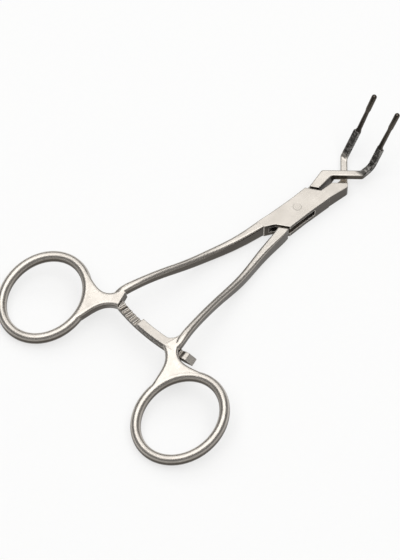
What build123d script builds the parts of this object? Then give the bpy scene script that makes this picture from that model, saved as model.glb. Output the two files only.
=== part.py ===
from build123d import *
from math import cos, sin, radians, degrees, tan, atan2
import os

# Curved surgical clamp, a spreading forceps with finger rings and a ratchet. Millimetres.
# Origin: on the pivot axis, in the flat underside of the box lock. +X runs along the clamp
# to its jaws, +Z is the upper side, towards which the jaws are bent. The box arm's ring lies
# on the +Y side. The arms are drawn as the photo shows them: jaws parallel, 3 teeth from shut.

# Box lock
LOCK_THICKNESS = 5.2
CHEEK_THICKNESS = 1.35
TONGUE_CLEARANCE = 0.05          # above and below the tongue, in its slot
SHOULDER_X = 6.7                 # near corner of a shoulder, from the pivot
SHOULDER_FAR_X = 9.4             # far corner of a shoulder
SHOULDER_FAR_Y = 0.8             # far corner, beyond the middle line
SHOULDER_GAP = 0.9               # between a cheek's shoulder and the tongue arm's
UPPER_FLANK_Y = 3.45             # flank of the box on the side of its own ring
LOWER_FLANK_Y = 3.9              # and on the other side
SLOT_WALL_X = 3.6                # where the slot's side walls begin, from the pivot
SLOT_WALL_Y = 1.4                # and how far off the axis they begin

# Pivot pin
PIN_RADIUS = 1.25
PIN_RUNNING_CLEARANCE = 0.03
BOSS_RADIUS = 2.6                # round middle of the tongue, about the pin

# Shanks: crest of their arch above the table
ARCH_LEVEL = 9.75

# Finger rings
RING_FRONT_X = -63.4             # front of the bar's middle line
RING_NEAR_Y = 16.9               # and its side towards the other ring
RING_HALF_LENGTH = 13.9          # of the bar's middle line
RING_HALF_WIDTH = 12.2
RING_X = RING_FRONT_X - RING_HALF_LENGTH
RING_Y = RING_NEAR_Y + RING_HALF_WIDTH
RING_PITCH = 13.4                # degrees, far end down
RING_YAW = 2.8
RING_BAR_WIDTH = 3.1
RING_BAR_HEIGHT = 4.0
NECK_STEP = 0.12                 # the neck's flat, below the crest of the ring
NECK_ROUNDING = 0.9

# Ratchet bars, on arcs about the pivot
RATCHET_BEHIND = 1.4             # the bars' middle arc, from the front of the rings' middle line
RATCHET_RADIUS = RATCHET_BEHIND - RING_FRONT_X
RATCHET_WIDTH = 2.6
RATCHET_THICKNESS = 1.6
SHORT_BAR_THICKNESS = 1.65
RATCHET_LEVEL = 8.4              # height of the plane where the two bars meet
RATCHET_GAP = 0.1                # between the tooth tips, as the arms spring apart
TOOTH_PITCH = 1.5                # degrees
TOOTH_DEPTH = 0.5
NECK_AT_BARS = degrees(atan2(RING_NEAR_Y - 3.4, RATCHET_RADIUS))
LONG_BAR_ROOT = 179.0 - NECK_AT_BARS     # degrees about the pivot, from +X
LONG_BAR_END = 197.2
END_BEVEL = 2.2                  # degrees, sloping end of the long bar
SHORT_BAR_END = 179.3
SHORT_BAR_ROOT = 179.8 + NECK_AT_BARS
RELIEF_CLEARANCE = 0.35

# Necks, where the arms cross a second time at 45 degrees
NECK_WIDTH = 2.1
NECK_HEIGHT = 2.15
BOX_NECK_REACH = 20.42           # x where the box arm's neck line meets the middle line
NECK_STAGGER = 2.3               # the tongue arm's neck lies this much nearer to the pivot
TONGUE_NECK_REACH = BOX_NECK_REACH - NECK_STAGGER
BOX_STRIP_OUTER_Y = 4.5          # strip between lock and neck, x 10
BOX_STRIP_INNER_Y = 0.85
TONGUE_STRIP_OUTER_Y = 3.3
TONGUE_STRIP_INNER_Y = 0.35
BOX_DROP = BOX_NECK_REACH - 7.52         # x + y where the box arm begins to drop to half thickness
TONGUE_DROP = TONGUE_NECK_REACH - 4.02   # x - y where the tongue arm's underside begins to rise
DROP_LENGTH = 2.1
NECK_START_X = BOX_NECK_REACH - 1.62
STRIP_TAPER = 0.9                # the box arm's strip loses this much height up to its neck

# Jaws
JAW_PITCH = 58.0                 # degrees up from the plane of the arms
JAW_HALF_GAP = 4.85              # middle of a jaw, from the middle of the clamp
JAW_END_X = BOX_NECK_REACH + 10.48
JAW_END_Z = 10.2
JAW_SIZE = 2.0
JAW_ROUNDING = 0.4
JAW_BEND_FRONT = 4.0             # radius of the bend under the jaw, and behind it
JAW_BEND_BACK = 1.6
SERRATION_PITCH = 0.75
SERRATION_DEPTH = 0.16

# Prongs
PRONG_PITCH = 58.9               # degrees up
PRONG_SPLAY = 1.2                # degrees outward
PRONG_FORWARD = -0.1             # from the middle of the jaw's end, forward and inward
PRONG_INWARD = 0.25
PRONG_RADIUS = 0.5
PRONG_SEAT_DEPTH = 3.0
PRONG_LENGTH = 7.6
PRONG_TIP_RADIUS = 0.72
PRONG_TIP_LENGTH = 6.2
COLLAR_RADIUS = 0.85
COLLAR_LENGTH = 1.0

MID = LOCK_THICKNESS / 2
JAW_ALONG = Vector(cos(radians(JAW_PITCH)), 0, sin(radians(JAW_PITCH)))


def section(x, y, z, heading, pitch, width, height, corner):
    """Rounded section of an arm, square to its run. Heading and pitch are in degrees."""
    h, p = radians(heading), radians(pitch)
    along = Vector(cos(h) * cos(p), sin(h) * cos(p), sin(p))
    across = Vector(-sin(h), cos(h), 0)
    return Plane(origin=(x, y, z), x_dir=across, z_dir=along) * RectangleRounded(width, height, corner)


def slot_plan():
    """What the tongue sweeps in the middle layer of the box, open at both flanks."""
    far = SHOULDER_FAR_X + 6
    half = [(far, -SHOULDER_FAR_Y), (SLOT_WALL_X, -SLOT_WALL_Y), (SLOT_WALL_X, -far), (-far, -far)]
    other = [(-x, -y) for x, y in half]
    return make_face(Polyline(*half, *other, close=True))


def ring_plane_level(x):
    """Height of the finger rings' tilted middle plane, which the necks follow."""
    far_end = RING_HALF_LENGTH * sin(radians(RING_PITCH)) + RING_BAR_HEIGHT / 2 * cos(radians(RING_PITCH))
    return far_end + (x - RING_X) * tan(radians(RING_PITCH))


def handle():
    """Shank of the +Y side, from the lock to the ring, as a run of rounded sections."""
    m = MID
    rise = ARCH_LEVEL - MID
    front, near = RING_FRONT_X, RING_NEAR_Y
    rows = [
        (-8.0, 2.5, m, 175, 0, 3.2, 5.15, 0.3),
        (-12.5, 3.3, m, 172, 0, 2.8, 5.1, 0.5),
        (-17.5, 3.95, m, 171, 0, 2.55, 5.0, 0.8),
        (-22.0, 4.75, m + 0.05, 169, 3, 2.35, 4.8, 0.9),
        (-30.0, 6.45, m + 0.11 * rise, 169, 12, 2.2, 4.3, 0.95),
        (-40.0, 8.1, m + 0.45 * rise, 170, 15.5, 2.1, 3.6, 0.95),
        (-47.0, 9.45, m + 0.74 * rise, 169, 14, 2.1, 3.4, 0.95),
        (front + 10.4, near - 6.25, m + 0.92 * rise, 169, 8, 2.2, 3.35, 1.0),
        (front + 5.4, near - 5.2, ARCH_LEVEL - 0.05, 168, 0, 2.45, 3.4, 1.1),
        (front + 0.4, near - 4.15, ring_plane_level(front + 0.4), 165, -11, 2.2, 3.3, 1.0),
    ]
    return loft([section(*row) for row in rows])


def neck():
    """Flare between shank and ring, a web with rounded edges in the plane of the ring."""
    p = radians(RING_PITCH)
    front, near = RING_FRONT_X, RING_NEAR_Y
    outer_run = [(front + 2.6, near - 3.7), (front - 0.6, near - 2.2), (front - 1.5, near - 0.3),
                 (front - 1.6, near + 1.8), (front - 0.7, near + 5.9), (front + 0.1, near + 9.8)]
    inner_run = [(front - 17.1, near - 0.4), (front - 13.1, near - 0.9), (front - 10.0, near - 1.6),
                 (front - 7.3, near - 2.3), (front - 4.6, near - 3.6), (front - 2.9, near - 5.4),
                 (front - 2.1, near - 7.2)]
    outer = Spline(*[(x / cos(p), y) for x, y in outer_run])
    inner = Spline(*[(x / cos(p), y) for x, y in inner_run])
    far = (front + 2.6) / cos(p), near - 5.9
    inside_x = RING_X + RING_HALF_LENGTH * cos(radians(50))
    inside_y = RING_Y - RING_HALF_WIDTH * sin(radians(50))
    tail = (front - 17.1) / cos(p), near + 0.5
    hidden = ThreePointArc(outer @ 1, (inside_x / cos(p), inside_y), tail)
    shank_end = [Line(inner @ 1, far), Line(far, outer @ 0)]
    web = make_face([outer, hidden, Line(tail, inner @ 0), inner, *shank_end])
    tilted = Plane(origin=(0, 0, ring_plane_level(0)), x_dir=(cos(p), 0, sin(p)), z_dir=(-sin(p), 0, cos(p)))
    half = RING_BAR_HEIGHT / 2 - NECK_STEP
    body = extrude(tilted.offset(-half) * web, 2 * half)
    middle = Vector(RING_X, RING_Y, ring_plane_level(RING_X))
    open_edges = [e for e in body.edges() if (e @ 0.5 - (e @ 0 + e @ 1) / 2).length > 0.3
                  and (e @ 0.5 - middle).length > RING_HALF_LENGTH + 1]
    return fillet(open_edges, NECK_ROUNDING)


def ring():
    """Finger ring of the +Y side: an oval bar bent to an oval, its far end on the table."""
    p = radians(RING_PITCH)
    tilted = Plane(origin=(RING_X, RING_Y, ring_plane_level(RING_X)),
                   x_dir=(cos(p), 0, sin(p)), z_dir=(-sin(p), 0, cos(p)))
    plane = tilted.rotated((0, 0, RING_YAW))
    path = Edge.make_ellipse(RING_HALF_LENGTH, RING_HALF_WIDTH, plane)
    start = Plane(origin=path @ 0, x_dir=plane.x_dir, z_dir=path % 0)
    body = sweep(start * Ellipse(RING_BAR_WIDTH / 2, RING_BAR_HEIGHT / 2), path=path)
    return Pos(0, 0, -body.bounding_box().min.Z) * body


def sector(r0, r1, a0, a1, z0, z1):
    """Curved bar between two radii and two angles about the pivot."""
    pts = [(r0, a0), (r0, a1), (r1, a1), (r1, a0)]
    p = [Vector(r * cos(radians(a)), r * sin(radians(a)), 0) for r, a in pts]
    mid = radians((a0 + a1) / 2)
    inner = ThreePointArc(p[0], Vector(r0 * cos(mid), r0 * sin(mid), 0), p[1])
    outer = ThreePointArc(p[2], Vector(r1 * cos(mid), r1 * sin(mid), 0), p[3])
    face = make_face([inner, Line(p[1], p[2]), outer, Line(p[3], p[0])])
    return Pos(0, 0, z0) * extrude(face, z1 - z0)


BAR_IN = RATCHET_RADIUS - RATCHET_WIDTH / 2
BAR_OUT = RATCHET_RADIUS + RATCHET_WIDTH / 2


def tooth_cut(angle, lean, face_z, down):
    """Notch between two teeth, steep on one side, across a ratchet bar at an angle."""
    step = radians(TOOTH_PITCH) * RATCHET_RADIUS
    depth = TOOTH_DEPTH if down else -TOOTH_DEPTH
    outside = -0.5 if down else 0.5
    run = step * 0.94
    pts = [(0, -outside), (0, 0), (lean * 0.12 * step, -depth), (lean * run, 0), (lean * run, -outside)]
    profile = make_face(Polyline(*pts, close=True))
    a = radians(angle)
    plane = Plane(origin=(0, 0, face_z), x_dir=(-sin(a), cos(a), 0), z_dir=(cos(a), sin(a), 0))
    return plane.offset(BAR_IN - 1) * extrude(profile, RATCHET_WIDTH + 2)


def long_bar():
    """Ratchet bar of the box arm: lower half, teeth on top, its free end beveled."""
    top = RATCHET_LEVEL - RATCHET_GAP / 2
    bar = sector(BAR_IN, BAR_OUT, LONG_BAR_ROOT, LONG_BAR_END, top - RATCHET_THICKNESS, top)
    first = LONG_BAR_ROOT + 4.5
    count = int((LONG_BAR_END - END_BEVEL - first) / TOOTH_PITCH)
    for i in range(count):
        bar -= tooth_cut(first + i * TOOTH_PITCH, 1, top, True)
    a = radians(LONG_BAR_END - END_BEVEL)
    run = 2 * radians(END_BEVEL) * RATCHET_RADIUS
    plane = Plane(origin=(0, 0, top), x_dir=(-sin(a), cos(a), 0), z_dir=(cos(a), sin(a), 0))
    wedge = make_face(Polyline((0, 0), (run, -1.6 * RATCHET_THICKNESS), (run, 2), (0, 2), close=True))
    bar -= plane.offset(BAR_IN - 2) * extrude(wedge, RATCHET_WIDTH + 4)
    return bar


def short_bar():
    """Ratchet bar of the tongue arm: upper half, smooth above, teeth underneath."""
    low = RATCHET_LEVEL + RATCHET_GAP / 2
    bar = sector(BAR_IN, BAR_OUT, SHORT_BAR_END, SHORT_BAR_ROOT, low, low + SHORT_BAR_THICKNESS)
    # the hollow corner between the bar and the shank
    x, y = -BAR_IN, 6.6 - RING_NEAR_Y
    corner = Spline((x + 0.3, y + 3.3), (x + 0.8, y + 1.2), (x + 2.3, y), (x + 4.6, y - 0.3))
    outside = Polyline(corner @ 1, (x + 3, y - 1.9), (x - 1, y - 1.9), (x - 1, y + 3.3), corner @ 0)
    bar += Pos(0, 0, low) * extrude(make_face([corner, outside]), SHORT_BAR_THICKNESS)
    for i in range(4):
        bar -= tooth_cut(SHORT_BAR_END + 0.6 + i * TOOTH_PITCH, 1, low, False)
    return bar


def arm_profile(neck_low, neck_high, lock_low, lock_high):
    """Side view of an arm's working end: flat strip and neck, then the jaw bent up."""
    end = Vector(JAW_END_X, 0, JAW_END_Z)
    n = Vector(-JAW_ALONG.Z, 0, JAW_ALONG.X) * (JAW_SIZE / 2)
    front, back = end - n, end + n
    slope = tan(radians(JAW_PITCH))
    front_bend = (front.X - (front.Z - neck_low) / slope, neck_low)
    back_bend = (back.X - (back.Z - neck_high) / slope, neck_high)
    pts = [(2, lock_low)]
    if neck_low > lock_low:
        pts += [(NECK_START_X, lock_low), (NECK_START_X, neck_low)]
    pts += [front_bend, (front.X, front.Z), (back.X, back.Z), back_bend]
    if neck_high < lock_high:
        pts += [(NECK_START_X, neck_high), (NECK_START_X, lock_high - STRIP_TAPER)]
    pts += [(10.0, lock_high), (2, lock_high)]
    view = make_face(Polyline(*pts, close=True))
    for (x, z), radius in ((front_bend, JAW_BEND_FRONT), (back_bend, JAW_BEND_BACK)):
        view = fillet(view.vertices().sort_by_distance((x, z, 0))[0], radius)
    return view


def working_end(plan, view):
    """Strip, neck and jaw of an arm: what lies inside both its plan and its side view."""
    side = extrude(Plane.XZ * view, 20, both=True)
    body = Pos(0, 0, -1) * extrude(plan, 30) & side
    ahead = NECK_START_X + 0.3
    jaw_edges = [e for e in body.edges()
                 if min((e @ 0).X, (e @ 1).X) > ahead and (e @ 0.5).X > ahead + 0.5]
    return fillet(jaw_edges, JAW_ROUNDING)


def prong_seat(side):
    """Where a prong is let into its jaw: the plane of the bottom of its bore."""
    p, w = radians(PRONG_PITCH), radians(PRONG_SPLAY)
    along = Vector(cos(p) * cos(w), side * sin(w), sin(p) * cos(w))
    across = Vector(JAW_ALONG.Z, 0, -JAW_ALONG.X)
    end = Vector(JAW_END_X, side * (JAW_HALF_GAP - PRONG_INWARD), JAW_END_Z)
    foot = end + across * PRONG_FORWARD - along * PRONG_SEAT_DEPTH
    return Plane(origin=foot, x_dir=(0, 1, 0), z_dir=along)


def jaw_detail(side):
    """Cross serrations and one lengthwise groove on each side of a jaw, and its prong's bored seat."""
    end = Vector(JAW_END_X, side * JAW_HALF_GAP, JAW_END_Z)
    length = 8.6
    plane = Plane(origin=end - JAW_ALONG * length, x_dir=(0, 1, 0), z_dir=JAW_ALONG)
    rows = int((length - 0.4) / SERRATION_PITCH)
    cuts = [prong_seat(side) * extrude(Circle(PRONG_RADIUS), PRONG_SEAT_DEPTH + 1)]
    for turn in (0, 90, 180, 270):
        face = plane * Rot(0, 0, turn) * Pos(JAW_SIZE / 2, 0, 0)
        cuts.append(face * Pos(0, 0, 0.2) * extrude(RegularPolygon(SERRATION_DEPTH, 4), length))
        for i in range(rows):
            row = face * Pos(0, 0, 0.5 + i * SERRATION_PITCH) * Rot(90, 0, 0)
            cuts.append(row * extrude(RegularPolygon(SERRATION_DEPTH, 4), JAW_SIZE, both=True))
    return cuts


def prong(side):
    """Thin round working prong with a collar at its foot and a thicker tip."""
    r, t = PRONG_RADIUS, PRONG_TIP_RADIUS
    s = PRONG_SEAT_DEPTH
    n = s + PRONG_LENGTH
    e = n + PRONG_TIP_LENGTH
    outline = [(0, 0), (r, 0), (r, s), (COLLAR_RADIUS, s), (COLLAR_RADIUS * 0.9, s + 0.3),
               (r, s + COLLAR_LENGTH), (r, n - 0.5), (t, n), (t, e - t)]
    dome = RadiusArc((t, e - t), (0, e), -t)
    face = make_face([Polyline(*outline), dome, Line((0, e), (0, 0))])
    return prong_seat(side) * revolve(Plane.XZ * face, Axis.Z)


def box_arm_plan():
    """Box, strip, neck and jaw of the box arm from above."""
    w = NECK_WIDTH / 2 * 2 ** 0.5
    inner, outer = BOX_NECK_REACH - w, BOX_NECK_REACH + w
    near, far = JAW_HALF_GAP - JAW_SIZE / 2, JAW_HALF_GAP + JAW_SIZE / 2
    end = JAW_END_X + 3
    strip_in, strip_out = BOX_STRIP_INNER_Y, BOX_STRIP_OUTER_Y + 0.7
    strip = FilletPolyline(
        (4, -strip_in), (inner - strip_in, -strip_in), (inner + far, far), (end, far), (end, near),
        (outer + near, near), (outer - strip_out, -strip_out), (4, -BOX_STRIP_OUTER_Y + 0.6),
        radius=1.3, close=True)
    box = Polyline(
        (SHOULDER_X, UPPER_FLANK_Y - 0.15), (SHOULDER_FAR_X, -SHOULDER_FAR_Y),
        (SHOULDER_FAR_X, -BOX_STRIP_OUTER_Y + 0.04), (0, -LOWER_FLANK_Y),
        (-SHOULDER_X, -LOWER_FLANK_Y + 0.15),
        (-SHOULDER_FAR_X, SHOULDER_FAR_Y - 0.7), (-12.4, 1.75), (-12.4, 4.5), (-8.0, 4.0), (0, UPPER_FLANK_Y),
        close=True)
    return make_face(strip), make_face(box)


def tongue_arm_plan():
    """Strip, neck and jaw of the tongue arm from above."""
    w = NECK_WIDTH / 2 * 2 ** 0.5
    inner, outer = TONGUE_NECK_REACH - w, TONGUE_NECK_REACH + w
    near, far = JAW_HALF_GAP - JAW_SIZE / 2, JAW_HALF_GAP + JAW_SIZE / 2
    end = JAW_END_X + 3
    top = TONGUE_STRIP_OUTER_Y + 1.2
    return make_face(FilletPolyline(
        (5, TONGUE_STRIP_OUTER_Y - 1.2), (outer - top, top), (outer + near, -near), (end, -near), (end, -far),
        (inner + far, -far), (inner - TONGUE_STRIP_INNER_Y - 0.5, TONGUE_STRIP_INNER_Y + 0.5),
        (5, TONGUE_STRIP_INNER_Y - 0.5),
        radius=1.0, close=True))


def drop(start, turn, deep, level, up):
    """Wedge that takes away half the thickness from a line set at 45 degrees across an arm."""
    s = start / 2 ** 0.5
    e = s + DROP_LENGTH / 2 ** 0.5
    pts = [(s, deep), (e, level), (e + 6, level), (e + 6, deep + up), (s, deep + up)]
    plane = Plane(origin=(0, 0, 0), x_dir=(cos(radians(turn)), sin(radians(turn)), 0),
                  z_dir=(-sin(radians(turn)), cos(radians(turn)), 0))
    # the plane's own y runs up or down, according to its handedness
    sign = 1 if plane.y_dir.Z > 0 else -1
    face = make_face(Polyline(*[(x, sign * z) for x, z in pts], close=True))
    return plane * extrude(face, 24, both=True)


def box_arm():
    strip, box = box_arm_plan()
    end = working_end(strip, arm_profile(0, NECK_HEIGHT, 0, LOCK_THICKNESS))
    end -= drop(BOX_DROP, 45, LOCK_THICKNESS, NECK_HEIGHT, 3)
    body = extrude(box, LOCK_THICKNESS)
    body += end
    slot_height = LOCK_THICKNESS - 2 * CHEEK_THICKNESS
    body -= Pos(0, 0, CHEEK_THICKNESS) * extrude(slot_plan(), slot_height)
    body += handle()
    body += neck()
    body += ring()
    body += long_bar()
    body -= jaw_detail(1)
    body -= extrude(Circle(PIN_RADIUS), LOCK_THICKNESS)
    return body


def tongue_arm():
    high = LOCK_THICKNESS
    low = LOCK_THICKNESS - NECK_HEIGHT
    end = working_end(tongue_arm_plan(), arm_profile(low, high, 0, high))
    end -= drop(TONGUE_DROP, -45, 0, low, -3)
    body = mirror(handle(), about=Plane.XZ)
    body += mirror(neck(), about=Plane.XZ)
    body += mirror(ring(), about=Plane.XZ)
    relief = sector(BAR_IN - RELIEF_CLEARANCE, BAR_OUT + RELIEF_CLEARANCE, SHORT_BAR_ROOT - 6,
                    SHORT_BAR_ROOT + 6, 0, RATCHET_LEVEL + RATCHET_GAP / 2)
    body -= relief
    body += short_bar()
    body += end
    body -= jaw_detail(-1)
    # the cheeks' own outline, grown by the gap, takes away the upper and lower layers
    strip, box = box_arm_plan()
    body -= extrude(offset(box, SHOULDER_GAP, kind=Kind.INTERSECTION), LOCK_THICKNESS)
    layer = CHEEK_THICKNESS + TONGUE_CLEARANCE
    end_x, end_y = SHOULDER_FAR_X + 1.1, UPPER_FLANK_Y - 0.05
    bend_x, bend_y = SHOULDER_X + SHOULDER_GAP, UPPER_FLANK_Y - 0.15
    half = [(-end_x, SHOULDER_FAR_Y - 1.9), (bend_x, bend_y), (end_x, end_y)]
    plate = make_face(Polyline(*half, *[(-x, -y) for x, y in half], close=True))
    plate += Circle(BOSS_RADIUS)
    body += Pos(0, 0, layer) * extrude(plate, LOCK_THICKNESS - 2 * layer)
    body -= extrude(Circle(PIN_RADIUS + PIN_RUNNING_CLEARANCE), LOCK_THICKNESS)
    return body


def pivot_pin():
    return extrude(Circle(PIN_RADIUS), LOCK_THICKNESS)


os.makedirs("parts", exist_ok=True)
NODES = {
    "box_arm": box_arm(),
    "tongue_arm": tongue_arm(),
    "pivot_pin": pivot_pin(),
    "left_prong": prong(1),
    "right_prong": prong(-1),
}
for name, shape in NODES.items():
    export_step(shape, f"parts/{name}.step")
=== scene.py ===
import math

import bmesh
import bpy
from mathutils import Matrix, Vector


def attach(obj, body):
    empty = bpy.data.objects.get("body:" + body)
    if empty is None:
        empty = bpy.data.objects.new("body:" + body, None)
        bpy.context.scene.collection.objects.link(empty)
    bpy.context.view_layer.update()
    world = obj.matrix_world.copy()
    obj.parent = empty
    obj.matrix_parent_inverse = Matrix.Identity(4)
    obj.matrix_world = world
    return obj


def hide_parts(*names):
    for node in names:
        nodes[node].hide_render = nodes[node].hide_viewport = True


# A box-lock surgical clamp, laid flat on a pale table and seen from above its finger rings.
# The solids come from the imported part. Both arms and the pin keep their shape and get their steel
# here, and the two prongs give way to turned ones of their measured thickness. The rest is the
# table that the clamp lies on, the studio light and the camera.

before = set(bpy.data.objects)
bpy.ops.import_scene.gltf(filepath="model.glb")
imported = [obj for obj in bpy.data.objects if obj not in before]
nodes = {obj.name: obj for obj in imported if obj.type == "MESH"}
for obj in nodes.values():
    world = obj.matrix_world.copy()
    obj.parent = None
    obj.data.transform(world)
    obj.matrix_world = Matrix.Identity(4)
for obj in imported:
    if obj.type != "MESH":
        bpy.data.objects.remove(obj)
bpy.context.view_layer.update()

MM = 0.001

# The jaws rise at this angle. Their grip starts this far along that direction from the pivot, and
# its cross grooves follow one another from the second place on
JAW_RISE = math.radians(58)
GRIP_START = 16.2 * MM
FIRST_GROOVE = 16.924 * MM
GROOVE_PITCH = 0.75 * MM

# Where a prong leaves the end of its jaw, and the way that it points. Left is the +Y side
PRONG_FOOT = (30.815 * MM, 4.6 * MM, 10.253 * MM)
PRONG_RISE = math.radians(58.9)
PRONG_SPLAY = math.radians(1.2)

# A prong's outline from the jaw's end outwards, in millimetres: the shank is let into the jaw,
# and the thicker tip ends in a dome
PRONG_SHANK_DEPTH = 3.0
PRONG_SHANK_RADIUS = 0.48
PRONG_TIP_RADIUS = 0.84
PRONG_DOME_START = 12.7

# Steel edges are broken this wide in the render, so that they show
DRAWN_EDGE = 0.35 * MM

# The photograph's view: which way it looks across the table, how far down, and from where
VIEW_HEADING = math.radians(45.8)
VIEW_DOWN = math.radians(56.67)
VIEW_ROLL = math.radians(0.15)
VIEW_DISTANCE = 1000 * MM
VIEW_CENTRE_ACROSS = -29.49 * MM
VIEW_CENTRE_UP = -20.83 * MM
LOCK_MIDDLE = Vector((0, 0, 2.6 * MM))
LENS_LENGTH = 211.5

# The table and the studio. The card's glow is the share of it that is seen lit through
TABLE_SIZE = 9.0
CARD_GLOW = 0.65
STUDIO_MIDDLE = Vector((-20 * MM, 0, 4 * MM))
ROOM_LIGHT = 0.24

# A mix node has several sockets of one name: these are its two colours and the one that comes out
FIRST_COLOUR, SECOND_COLOUR, MIXED_COLOUR = 6, 7, 2


def linear(colour):
    """An sRGB hex colour as the linear red, green, blue and alpha that Blender works in."""
    parts = [int(colour[i : i + 2], 16) / 255 for i in (1, 3, 5)]
    return [c / 12.92 if c <= 0.04045 else ((c + 0.055) / 1.055) ** 2.4 for c in parts] + [1.0]


def add(material, kind, sockets=(), **settings):
    """Adds a node. Settings are its own properties; sockets are given as {input: value or link}."""
    new = material.node_tree.nodes.new(kind)
    for name, value in settings.items():
        setattr(new, name, value)
    for name, value in dict(sockets).items():
        if isinstance(value, bpy.types.NodeSocket):
            material.node_tree.links.new(value, new.inputs[name])
        else:
            new.inputs[name].default_value = value
    return new


def new_material(name):
    material = bpy.data.materials.new(name)
    material.use_nodes = True
    material.node_tree.nodes.clear()
    return material


def per_metre(size):
    """The noise scale whose pattern repeats about once in this length, given in millimetres."""
    return 1 / (size * MM)


def paint_flank_shade(material, brushed):
    """What faces up or down keeps the steel's tone; the flanks are painted darker, as painted shade
    for the dark that they mirror.
    """
    facing = add(material, "ShaderNodeSeparateXYZ",
                 {"Vector": add(material, "ShaderNodeTexCoord").outputs["Normal"]}).outputs["Z"]
    level = add(material, "ShaderNodeMath", {0: facing}, operation="ABSOLUTE")
    # The painted shade begins on slopes of 57 degrees and is full from 81 degrees on
    flank = add(material, "ShaderNodeMapRange",
                {"Value": level.outputs["Value"], "From Min": 0.55, "From Max": 0.15})
    sides = add(material, "ShaderNodeMix",
                {"Factor": flank.outputs["Result"],
                 FIRST_COLOUR: brushed, SECOND_COLOUR: linear("#4a443d")},
                data_type="RGBA")
    return sides.outputs[MIXED_COLOUR]


def paint_edge_highlight(material, rounded, steel):
    """Paints a highlight in a light colour on the broken edges, where the rounding turns the surface.
    """
    flat = add(material, "ShaderNodeNewGeometry").outputs["Normal"]
    likeness = add(material, "ShaderNodeVectorMath",
                   {0: rounded, 1: flat}, operation="DOT_PRODUCT").outputs["Value"]
    # The painted highlight begins where the rounding turns the surface by 8 degrees, and is full at
    # 22
    edge_highlight = add(material, "ShaderNodeMapRange",
                 {"Value": likeness, "From Min": 0.99, "From Max": 0.93, "To Max": 0.9})
    edged = add(material, "ShaderNodeMix",
                {"Factor": edge_highlight.outputs["Result"],
                 FIRST_COLOUR: steel, SECOND_COLOUR: linear("#dbd5cd")},
                data_type="RGBA")
    return edged.outputs[MIXED_COLOUR]


def paint_grip_shade_and_highlights(material, place, steel):
    """The jaw's cut grip is painted dark: painted shade in its grooves, and painted highlights in
    patches on its crests.
    """
    along = add(material, "ShaderNodeVectorMath",
                {0: place, 1: (math.cos(JAW_RISE), 0, math.sin(JAW_RISE))},
                operation="DOT_PRODUCT").outputs["Value"]
    # The grip begins at the jaw's bend
    grip = add(material, "ShaderNodeMapRange",
               {"Value": along, "From Min": GRIP_START - 0.3 * MM, "From Max": GRIP_START + 0.3 * MM})
    # A wave in step with the cut grooves is lowest in each groove and highest on each crest: painted
    # shade in the grooves, painted highlight on the crests
    turns = add(material, "ShaderNodeMath",
                {0: along, 1: 2 * math.pi / GROOVE_PITCH,
                 2: math.pi * (1 - 2 * FIRST_GROOVE / GROOVE_PITCH)}, operation="MULTIPLY_ADD")
    crests = add(material, "ShaderNodeMath", {0: turns.outputs["Value"]}, operation="COSINE")
    # The painted highlight patches on the crests are a tooth wide, 0.9 mm
    highlight_noise = add(material, "ShaderNodeTexNoise",
               {"Vector": place, "Scale": per_metre(0.9), "Detail": 1.0})
    highlight_patches = add(material, "ShaderNodeMath",
                {0: crests.outputs["Value"], 1: 0.06, 2: highlight_noise.outputs["Fac"]},
                operation="MULTIPLY_ADD")
    # The ramp's dark end is the painted shade of the grooves, its light end the painted highlight of
    # the crests
    teeth = add(material, "ShaderNodeValToRGB", {"Fac": highlight_patches.outputs["Value"]})
    teeth.color_ramp.elements[0].position = 0.47
    teeth.color_ramp.elements[0].color = linear("#484643")
    teeth.color_ramp.elements[1].position = 0.66
    teeth.color_ramp.elements[1].color = linear("#85827e")
    colour = add(material, "ShaderNodeMix",
                 {"Factor": grip.outputs["Result"],
                  FIRST_COLOUR: steel, SECOND_COLOUR: teeth.outputs["Color"]},
                 data_type="RGBA")
    return colour.outputs[MIXED_COLOUR]


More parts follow.
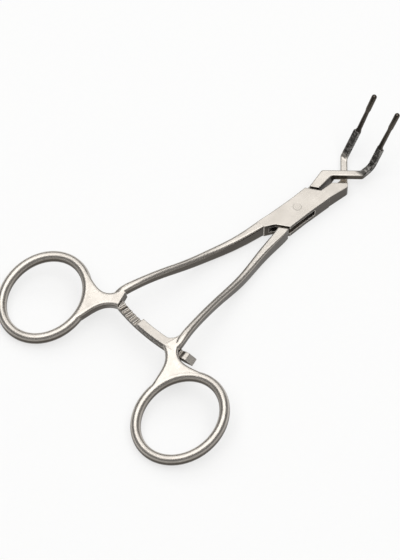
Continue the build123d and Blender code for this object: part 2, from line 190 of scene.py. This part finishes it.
def satin_stainless_steel():
    # Forged martensitic stainless steel, glass-bead blasted and then lightly brushed: a soft warm
    # grey that takes a broad blurred highlight, with faint clouds where the hand pressed harder
    material = new_material("satin_stainless_steel")
    place = add(material, "ShaderNodeTexCoord").outputs["Object"]
    # Clouds of the polishing wheel, about 6 mm across
    clouds = add(material, "ShaderNodeTexNoise",
                 {"Vector": place, "Scale": per_metre(6), "Detail": 3.0, "Roughness": 0.5})
    # Bead-blasted pits are 0.05 mm and would vanish: they are drawn 0.4 mm wide, so that they show
    pits = add(material, "ShaderNodeTexNoise",
               {"Vector": place, "Scale": per_metre(0.4), "Detail": 2.0, "Roughness": 0.6})
    # Brushing follows the length of the instrument: 0.3 mm lines, about 12 mm long
    stretched = add(material, "ShaderNodeVectorMath",
                    {0: place, 1: (per_metre(12), per_metre(0.3), per_metre(0.3))},
                    operation="MULTIPLY")
    lines = add(material, "ShaderNodeTexNoise",
                {"Vector": stretched.outputs["Vector"], "Scale": 1.0, "Detail": 2.0})
    tone = add(material, "ShaderNodeValToRGB", {"Fac": clouds.outputs["Fac"]})
    tone.color_ramp.elements[0].position = 0.3
    tone.color_ramp.elements[0].color = linear("#bbb5ad")
    tone.color_ramp.elements[1].position = 0.7
    tone.color_ramp.elements[1].color = linear("#cac4bc")
    gloss = add(material, "ShaderNodeMapRange",
                {"Value": lines.outputs["Fac"], "From Min": 0.3, "From Max": 0.7,
                 "To Min": 0.26, "To Max": 0.36})
    # The polisher breaks every sharp edge by 0.1 mm, which is drawn wider
    rounded = add(material, "ShaderNodeBevel", {"Radius": DRAWN_EDGE}, samples=6)
    # Pits and lines together stand 4 microns deep
    grain = add(material, "ShaderNodeMath",
                {0: pits.outputs["Fac"], 1: lines.outputs["Fac"]}, operation="ADD")
    bump = add(material, "ShaderNodeBump",
               {"Height": grain.outputs["Value"], "Strength": 0.35, "Distance": 0.012 * MM,
                "Normal": rounded.outputs["Normal"]})
    # The flanks get painted shade, for the dark that they mirror
    sides = paint_flank_shade(material, tone.outputs["Color"])
    # The broken edges get a painted highlight
    edged = paint_edge_highlight(material, rounded.outputs["Normal"], sides)
    # The grip on the jaws is painted dark, with painted shade in its grooves and painted highlights
    # on its crests
    steel = add(material, "ShaderNodeBsdfPrincipled",
                {"Base Color": paint_grip_shade_and_highlights(material, place, edged), "Metallic": 1.0,
                 "Roughness": gloss.outputs["Result"], "Normal": bump.outputs["Normal"]})
    add(material, "ShaderNodeOutputMaterial", {"Surface": steel.outputs["BSDF"]})
    return material


def ground_pin_steel():
    # The pin's end, peened and ground flush with the cheek: a little brighter, with turned rings
    material = new_material("ground_pin_steel")
    place = add(material, "ShaderNodeTexCoord").outputs["Object"]
    # Grinding rings are 0.05 mm apart and are drawn 0.6 mm apart, so that they show. The wave
    # texture runs through 20 radians in a unit
    rings = add(material, "ShaderNodeTexWave",
                {"Vector": place, "Scale": per_metre(0.6) * 2 * math.pi / 20, "Distortion": 0.3},
                wave_type="RINGS", rings_direction="Z")
    gloss = add(material, "ShaderNodeMapRange",
                {"Value": rings.outputs["Fac"], "To Min": 0.27, "To Max": 0.35})
    tone = add(material, "ShaderNodeMix",
               {"Factor": rings.outputs["Fac"],
                FIRST_COLOUR: linear("#b8b2aa"), SECOND_COLOUR: linear("#c4beb6")},
               data_type="RGBA")
    bump = add(material, "ShaderNodeBump",
               {"Height": rings.outputs["Fac"], "Strength": 0.2, "Distance": 0.004 * MM})
    steel = add(material, "ShaderNodeBsdfPrincipled",
                {"Base Color": tone.outputs[MIXED_COLOUR], "Metallic": 1.0,
                 "Roughness": gloss.outputs["Result"], "Normal": bump.outputs["Normal"]})
    add(material, "ShaderNodeOutputMaterial", {"Surface": steel.outputs["BSDF"]})
    return material


def polished_prong_steel():
    # Hardened tool steel, turned and polished: a darker, smoother grey with fine turning lines
    # round the rod, which mirrors the dark of the room between its thin highlights
    material = new_material("polished_prong_steel")
    place = add(material, "ShaderNodeTexCoord").outputs["Object"]
    along = add(material, "ShaderNodeVectorMath",
                {0: place, 1: (math.cos(PRONG_RISE), 0, math.sin(PRONG_RISE))},
                operation="DOT_PRODUCT").outputs["Value"]
    # Turning lines are 0.1 mm apart and are drawn 0.4 mm apart, so that they show
    turning = add(material, "ShaderNodeTexNoise",
                  {"W": along, "Scale": per_metre(0.4), "Detail": 1.0}, noise_dimensions="1D")
    tone = add(material, "ShaderNodeMix",
               {"Factor": turning.outputs["Fac"],
                FIRST_COLOUR: linear("#413c37"), SECOND_COLOUR: linear("#5c564f")},
               data_type="RGBA")
    gloss = add(material, "ShaderNodeMapRange",
                {"Value": turning.outputs["Fac"], "To Min": 0.18, "To Max": 0.3})
    steel = add(material, "ShaderNodeBsdfPrincipled",
                {"Base Color": tone.outputs[MIXED_COLOUR], "Metallic": 1.0,
                 "Roughness": gloss.outputs["Result"]})
    add(material, "ShaderNodeOutputMaterial", {"Surface": steel.outputs["BSDF"]})
    return material


def white_table_card():
    # Matt white card: it shows no highlight, only the clamp's soft shadow
    material = new_material("white_table_card")
    place = add(material, "ShaderNodeTexCoord").outputs["Object"]
    # The card's fibres are 0.2 mm and are drawn 2 mm wide
    fibres = add(material, "ShaderNodeTexNoise",
                 {"Vector": place, "Scale": per_metre(2), "Detail": 3.0})
    tone = add(material, "ShaderNodeMix",
               {"Factor": fibres.outputs["Fac"],
                FIRST_COLOUR: linear("#f4f4f3"), SECOND_COLOUR: linear("#f8f8f7")},
               data_type="RGBA")
    card = add(material, "ShaderNodeBsdfPrincipled",
               {"Base Color": tone.outputs[MIXED_COLOUR], "Roughness": 0.9,
                "Specular IOR Level": 0.1})
    # The background is almost pure white: the eye, mirrors and glass see a share of the card lit
    # through, while the light that it throws on the clamp stays that of plain card
    glow = add(material, "ShaderNodeEmission", {"Color": linear("#ffffff"), "Strength": 1.0})
    seen = add(material, "ShaderNodeLightPath")
    direct = add(material, "ShaderNodeMath",
                 {0: seen.outputs["Is Camera Ray"], 1: seen.outputs["Is Glossy Ray"]},
                 operation="MAXIMUM")
    shown = add(material, "ShaderNodeMath",
                {0: direct.outputs["Value"], 1: seen.outputs["Is Transmission Ray"]},
                operation="MAXIMUM")
    share = add(material, "ShaderNodeMath",
                {0: shown.outputs["Value"], 1: CARD_GLOW}, operation="MULTIPLY")
    lit = add(material, "ShaderNodeMixShader",
              {"Fac": share.outputs["Value"], 1: card.outputs["BSDF"], 2: glow.outputs["Emission"]})
    add(material, "ShaderNodeOutputMaterial", {"Surface": lit.outputs["Shader"]})
    return material


def finish_clamp():
    satin = satin_stainless_steel()
    finishes = {
        "box_arm": satin,
        "tongue_arm": satin,
        "pivot_pin": ground_pin_steel(),
    }
    for name, material in finishes.items():
        mesh = nodes[name].data
        mesh.materials.clear()
        mesh.materials.append(material)


def prong_outline():
    """Distance from the jaw's end and radius of each corner of a prong, in millimetres."""
    shank = [(-PRONG_SHANK_DEPTH, 0), (-PRONG_SHANK_DEPTH, PRONG_SHANK_RADIUS),
             (0.02, PRONG_SHANK_RADIUS)]
    collar = [(0.02, 0.95), (0.4, 0.9), (0.9, 0.74)]
    rod = [(4.0, 0.72), (6.8, 0.66), (7.4, 0.68)]
    tip = [(8.1, 0.82), (PRONG_DOME_START, PRONG_TIP_RADIUS)]
    # The domed end, in six steps of 15 degrees
    dome = [(PRONG_DOME_START + PRONG_TIP_RADIUS * math.sin(math.radians(turn)),
             PRONG_TIP_RADIUS * math.cos(math.radians(turn))) for turn in range(15, 91, 15)]
    return shank + collar + rod + tip + dome


def fit_prong(node, body, side, material):
    """A prong turned from rod: shank in the jaw's bore, collar on its end, rod and thicker tip."""
    along = Vector((math.cos(PRONG_RISE) * math.cos(PRONG_SPLAY), side * math.sin(PRONG_SPLAY),
                    math.sin(PRONG_RISE) * math.cos(PRONG_SPLAY)))
    foot = Vector((PRONG_FOOT[0], side * PRONG_FOOT[1], PRONG_FOOT[2]))
    across = along.cross(Vector((0, 1, 0))).normalized()
    shape = bmesh.new()
    corners = [shape.verts.new(foot + (along * step + across * radius) * MM)
               for step, radius in prong_outline()]
    edges = [shape.edges.new(pair) for pair in zip(corners, corners[1:])]
    bmesh.ops.spin(shape, geom=corners + edges, cent=foot, axis=along, angle=2 * math.pi,
                   steps=32, use_merge=True)
    bmesh.ops.remove_doubles(shape, verts=shape.verts, dist=0.002 * MM)
    bmesh.ops.recalc_face_normals(shape, faces=shape.faces)
    mesh = bpy.data.meshes.new(node + "_turned")
    shape.to_mesh(mesh)
    shape.free()
    mesh.shade_smooth()
    mesh.set_sharp_from_angle(angle=math.radians(35))
    mesh.materials.append(material)
    rod = bpy.data.objects.new(node + "_turned", mesh)
    bpy.context.scene.collection.objects.link(rod)
    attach(rod, body)
    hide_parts(node)


def lay_table():
    half = TABLE_SIZE / 2
    mesh = bpy.data.meshes.new("table_card")
    corners = [(-half, -half, 0), (half, -half, 0), (half, half, 0), (-half, half, 0)]
    mesh.from_pydata(corners, [], [(0, 1, 2, 3)])
    mesh.materials.append(white_table_card())
    table = bpy.data.objects.new("table_card", mesh)
    bpy.context.scene.collection.objects.link(table)


def soft_light(name, heading, height, distance, width, length, power):
    """A soft box that faces the clamp. Heading and height are in degrees, sizes in metres."""
    lamp = bpy.data.lights.new(name, "AREA")
    lamp.shape = "RECTANGLE"
    lamp.size = width
    lamp.size_y = length
    lamp.energy = power
    box = bpy.data.objects.new(name, lamp)
    turn, lift = math.radians(heading), math.radians(height)
    out = Vector((math.cos(turn) * math.cos(lift), math.sin(turn) * math.cos(lift), math.sin(lift)))
    box.location = STUDIO_MIDDLE + out * distance
    box.rotation_mode = "QUATERNION"
    box.rotation_quaternion = out.to_track_quat("Z", "Y")
    bpy.context.scene.collection.objects.link(box)


def light_studio():
    # The flat tops mirror the soft box that hangs behind the clamp, the tilted rings the one above
    # it. Nothing bright stands at the sides, so the rounded flanks turn dark
    soft_light("soft_box_behind", heading=46, height=50, distance=1.2,
               width=1.5, length=0.62, power=3.9)
    soft_light("soft_box_above", heading=46, height=97, distance=1.2,
               width=1.5, length=1.3, power=12.8)
    world = bpy.data.worlds.new("dim_room")
    world.use_nodes = True
    room = world.node_tree.nodes["Background"]
    room.inputs["Color"].default_value = linear("#ffffff")
    room.inputs["Strength"].default_value = ROOM_LIGHT
    bpy.context.scene.world = world


def place_camera():
    ahead = Vector((math.cos(VIEW_HEADING), math.sin(VIEW_HEADING), 0))
    looking = ahead * math.cos(VIEW_DOWN) - Vector((0, 0, math.sin(VIEW_DOWN)))
    level_up = ahead * math.sin(VIEW_DOWN) + Vector((0, 0, math.cos(VIEW_DOWN)))
    level_across = Vector((ahead.y, -ahead.x, 0))
    across = level_across * math.cos(VIEW_ROLL) + level_up * math.sin(VIEW_ROLL)
    up = level_up * math.cos(VIEW_ROLL) - level_across * math.sin(VIEW_ROLL)
    lens = bpy.data.cameras.new("view_over_rings")
    lens.lens = LENS_LENGTH
    # It sees from 5 cm away to beyond the table's edge
    lens.clip_start, lens.clip_end = 0.05, 30
    camera = bpy.data.objects.new("view_over_rings", lens)
    turn = Matrix((across, up, -looking)).transposed().to_4x4()
    stand = LOCK_MIDDLE + across * VIEW_CENTRE_ACROSS + up * VIEW_CENTRE_UP - looking * VIEW_DISTANCE
    camera.matrix_world = Matrix.Translation(stand) @ turn
    bpy.context.scene.collection.objects.link(camera)
    bpy.context.scene.camera = camera


finish_clamp()
prong_steel = polished_prong_steel()
fit_prong("left_prong", "box_side", 1, prong_steel)
fit_prong("right_prong", "tongue_side", -1, prong_steel)
lay_table()
light_studio()
place_camera()
bpy.context.scene.view_settings.view_transform = "Standard"
